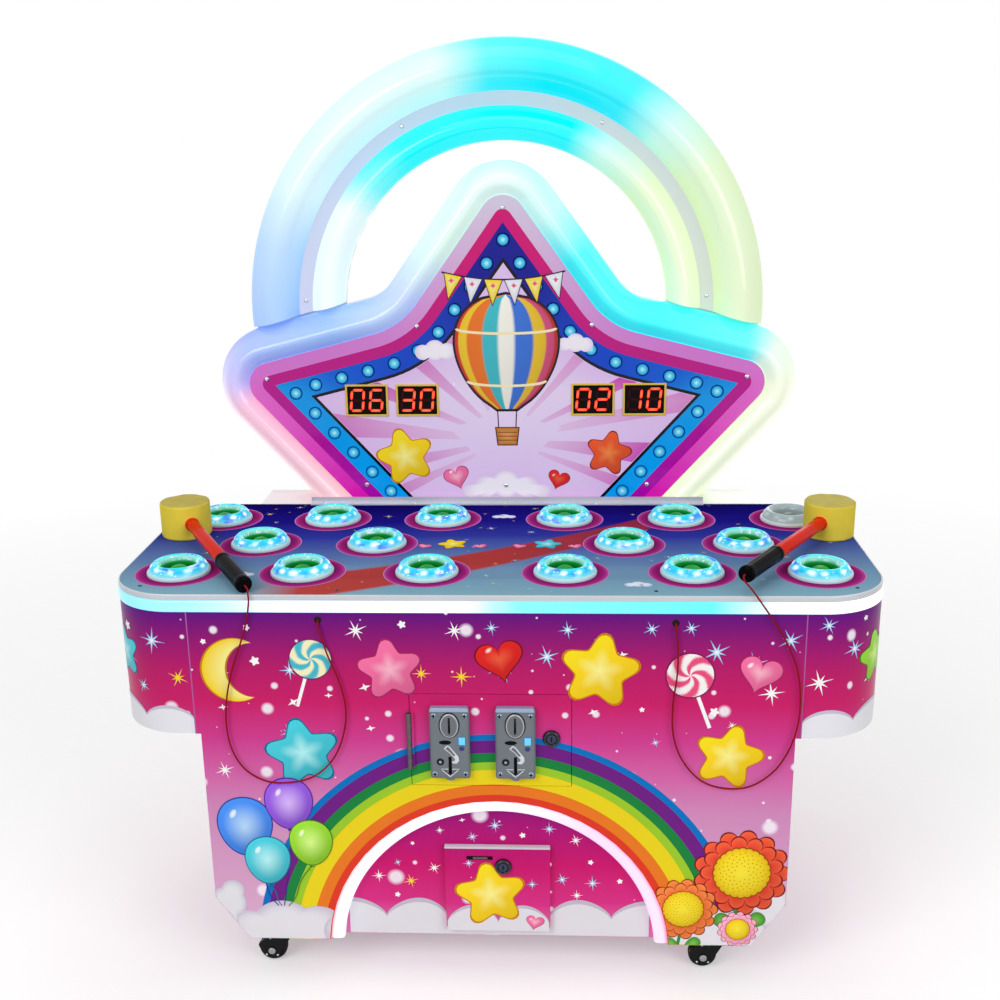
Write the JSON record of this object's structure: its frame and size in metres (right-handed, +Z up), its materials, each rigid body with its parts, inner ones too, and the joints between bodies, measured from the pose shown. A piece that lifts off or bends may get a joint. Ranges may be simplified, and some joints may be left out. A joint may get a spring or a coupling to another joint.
{
  "type": "mole pounding arcade machine",
  "caption": "Mallet arcade cabinet: pop-up moles in lit rings on a wide deck, lit star sign with score displays under a double arch, coin door, casters.",
  "frame": {"origin": "on the floor under the middle of the machine", "axes": "+Z up, the player stands at -Y and faces +Y, +X to the player's right"},
  "size_m": [1.283, 0.6352, 1.602],
  "materials": {
    "printed_panel": "gloss print on board",
    "painted_board": "painted board",
    "deck_print": "print under clear acrylic",
    "pale_trim": "matt moulding",
    "lit_acrylic": "translucent, lit from within",
    "mole_green": "moulded",
    "plated_steel": "zinc plated",
    "grey_diecast": "textured grey",
    "black_plastic": "moulded",
    "sign_print": "back-lit print",
    "yellow_foam": "foam",
    "red_handle": "smooth",
    "cord_red": "thin sheathed cord",
    "tyre": "moulded"
  },
  "bodies": {
    "cabinet": {"cabinet_body": "painted_board", "front_panel": "printed_panel", "left_wing": "printed_panel", "right_wing": "printed_panel", "light_band": "lit_acrylic", "deck_trim": "pale_trim", "playfield": "deck_print", "solenoid_tray": "plated_steel", "recess_panel": "printed_panel", "arch_light": "lit_acrylic", "cash_box": "plated_steel", "star_housing": "lit_acrylic", "star_face": "sign_print", "star_ledge": "plated_steel", "score_display_left": "black_plastic", "score_display_right": "black_plastic", "arch_housing": "lit_acrylic", "header_board": "pale_trim", "header_posts": "plated_steel", "service_panel": "plated_steel", "power_inlet": "black_plastic", "control_unit": "plated_steel", "tether_cord_left": "cord_red", "tether_cord_right": "cord_red"},
    "coin_door": {"coin_door": "printed_panel", "coin_acceptor_left": "grey_diecast", "coin_acceptor_right": "grey_diecast"},
    "return_button_left": {"return_button_left": "grey_diecast"},
    "return_button_right": {"return_button_right": "grey_diecast"},
    "coin_door_lock": {"coin_door_lock": "plated_steel"},
    "cash_door": {"cash_door": "printed_panel"},
    "cash_door_lock": {"cash_door_lock": "plated_steel"},
    "mallet_left": {"mallet_head_left": "yellow_foam", "mallet_handle_left": "red_handle"},
    "mallet_right": {"mallet_head_right": "yellow_foam", "mallet_handle_right": "red_handle"},
    "caster_front_left": {"caster_fork_front_left": "black_plastic"},
    "wheel_front_left": {"caster_wheel_front_left": "tyre"},
    "caster_front_right": {"caster_fork_front_right": "black_plastic"},
    "wheel_front_right": {"caster_wheel_front_right": "tyre"},
    "caster_rear_left": {"caster_fork_rear_left": "black_plastic"},
    "wheel_rear_left": {"caster_wheel_rear_left": "tyre"},
    "caster_rear_right": {"caster_fork_rear_right": "black_plastic"},
    "wheel_rear_right": {"caster_wheel_rear_right": "tyre"},
    "mole_01": {"mole_01": "mole_green"},
    "mole_02": {"mole_02": "mole_green"},
    "mole_03": {"mole_03": "mole_green"},
    "mole_04": {"mole_04": "mole_green"},
    "mole_05": {"mole_05": "mole_green"},
    "mole_06": {"mole_06": "mole_green"},
    "mole_07": {"mole_07": "mole_green"},
    "mole_08": {"mole_08": "mole_green"},
    "mole_09": {"mole_09": "mole_green"},
    "mole_10": {"mole_10": "mole_green"},
    "mole_11": {"mole_11": "mole_green"},
    "mole_12": {"mole_12": "mole_green"},
    "mole_13": {"mole_13": "mole_green"},
    "mole_14": {"mole_14": "mole_green"},
    "mole_15": {"mole_15": "mole_green"},
    "mole_16": {"mole_16": "mole_green"}
  },
  "joints": [
    {"name": "coin_door_hinge", "type": "hinge", "parent": "cabinet", "child": "coin_door", "pos_m": [-0.1417, -0.3072, 0.4663], "axis": [0, 0, -1], "range_deg": [0, 110]},
    {"name": "return_button_left_press", "type": "slide", "parent": "coin_door", "child": "return_button_left", "axis": [0, 1, 0], "range_m": [0, 0.003], "stiffness_N_per_m": 400},
    {"name": "return_button_right_press", "type": "slide", "parent": "coin_door", "child": "return_button_right", "axis": [0, 1, 0], "range_m": [0, 0.003], "stiffness_N_per_m": 400},
    {"name": "coin_door_lock_turn", "type": "hinge", "parent": "coin_door", "child": "coin_door_lock", "pos_m": [0.0936, -0.3026, 0.4713], "axis": [0, -1, 0], "range_deg": [0, 90]},
    {"name": "cash_door_hinge", "type": "hinge", "parent": "cabinet", "child": "cash_door", "pos_m": [0, -0.2886, 0.0945], "axis": [1, 0, 0], "range_deg": [0, 90]},
    {"name": "cash_door_lock_turn", "type": "hinge", "parent": "cash_door", "child": "cash_door_lock", "pos_m": [0.01, -0.2921, 0.222], "axis": [0, -1, 0], "range_deg": [0, 90]},
    {"name": "mallet_left_lift", "type": "slide", "parent": "cabinet", "child": "mallet_left", "axis": [0, 0, 1], "range_m": [0, 0.12]},
    {"name": "mallet_right_lift", "type": "slide", "parent": "cabinet", "child": "mallet_right", "axis": [0, 0, 1], "range_m": [0, 0.12]},
    {"name": "caster_front_left_swivel", "type": "hinge", "parent": "cabinet", "child": "caster_front_left", "pos_m": [-0.385, -0.2476, 0.0705], "axis": [0, 0, 1], "continuous": true},
    {"name": "wheel_front_left_spin", "type": "hinge", "parent": "caster_front_left", "child": "wheel_front_left", "pos_m": [-0.41, -0.2476, 0.025], "axis": [0, 1, 0], "continuous": true},
    {"name": "caster_front_right_swivel", "type": "hinge", "parent": "cabinet", "child": "caster_front_right", "pos_m": [0.385, -0.2476, 0.0705], "axis": [0, 0, 1], "continuous": true},
    {"name": "wheel_front_right_spin", "type": "hinge", "parent": "caster_front_right", "child": "wheel_front_right", "pos_m": [0.36, -0.2476, 0.025], "axis": [0, 1, 0], "continuous": true},
    {"name": "caster_rear_left_swivel", "type": "hinge", "parent": "cabinet", "child": "caster_rear_left", "pos_m": [-0.385, 0.2598, 0.0705], "axis": [0, 0, 1], "continuous": true},
    {"name": "wheel_rear_left_spin", "type": "hinge", "parent": "caster_rear_left", "child": "wheel_rear_left", "pos_m": [-0.41, 0.2598, 0.025], "axis": [0, 1, 0], "continuous": true},
    {"name": "caster_rear_right_swivel", "type": "hinge", "parent": "cabinet", "child": "caster_rear_right", "pos_m": [0.385, 0.2598, 0.0705], "axis": [0, 0, 1], "continuous": true},
    {"name": "wheel_rear_right_spin", "type": "hinge", "parent": "caster_rear_right", "child": "wheel_rear_right", "pos_m": [0.36, 0.2598, 0.025], "axis": [0, 1, 0], "continuous": true},
    {"name": "mole_01_pop", "type": "slide", "parent": "cabinet", "child": "mole_01", "axis": [0, 0, 1], "range_m": [0, 0.05]},
    {"name": "mole_02_pop", "type": "slide", "parent": "cabinet", "child": "mole_02", "axis": [0, 0, 1], "range_m": [0, 0.05]},
    {"name": "mole_03_pop", "type": "slide", "parent": "cabinet", "child": "mole_03", "axis": [0, 0, 1], "range_m": [0, 0.05]},
    {"name": "mole_04_pop", "type": "slide", "parent": "cabinet", "child": "mole_04", "axis": [0, 0, 1], "range_m": [0, 0.05]},
    {"name": "mole_05_pop", "type": "slide", "parent": "cabinet", "child": "mole_05", "axis": [0, 0, 1], "range_m": [0, 0.05]},
    {"name": "mole_06_pop", "type": "slide", "parent": "cabinet", "child": "mole_06", "axis": [0, 0, 1], "range_m": [0, 0.05]},
    {"name": "mole_07_pop", "type": "slide", "parent": "cabinet", "child": "mole_07", "axis": [0, 0, 1], "range_m": [0, 0.05]},
    {"name": "mole_08_pop", "type": "slide", "parent": "cabinet", "child": "mole_08", "axis": [0, 0, 1], "range_m": [0, 0.05]},
    {"name": "mole_09_pop", "type": "slide", "parent": "cabinet", "child": "mole_09", "axis": [0, 0, 1], "range_m": [0, 0.05]},
    {"name": "mole_10_pop", "type": "slide", "parent": "cabinet", "child": "mole_10", "axis": [0, 0, 1], "range_m": [0, 0.05]},
    {"name": "mole_11_pop", "type": "slide", "parent": "cabinet", "child": "mole_11", "axis": [0, 0, 1], "range_m": [0, 0.05]},
    {"name": "mole_12_pop", "type": "slide", "parent": "cabinet", "child": "mole_12", "axis": [0, 0, 1], "range_m": [0, 0.05]},
    {"name": "mole_13_pop", "type": "slide", "parent": "cabinet", "child": "mole_13", "axis": [0, 0, 1], "range_m": [0, 0.05]},
    {"name": "mole_14_pop", "type": "slide", "parent": "cabinet", "child": "mole_14", "axis": [0, 0, 1], "range_m": [0, 0.05]},
    {"name": "mole_15_pop", "type": "slide", "parent": "cabinet", "child": "mole_15", "axis": [0, 0, 1], "range_m": [0, 0.05]},
    {"name": "mole_16_pop", "type": "slide", "parent": "cabinet", "child": "mole_16", "axis": [0, 0, 1], "range_m": [0, 0.05]}
  ]
}
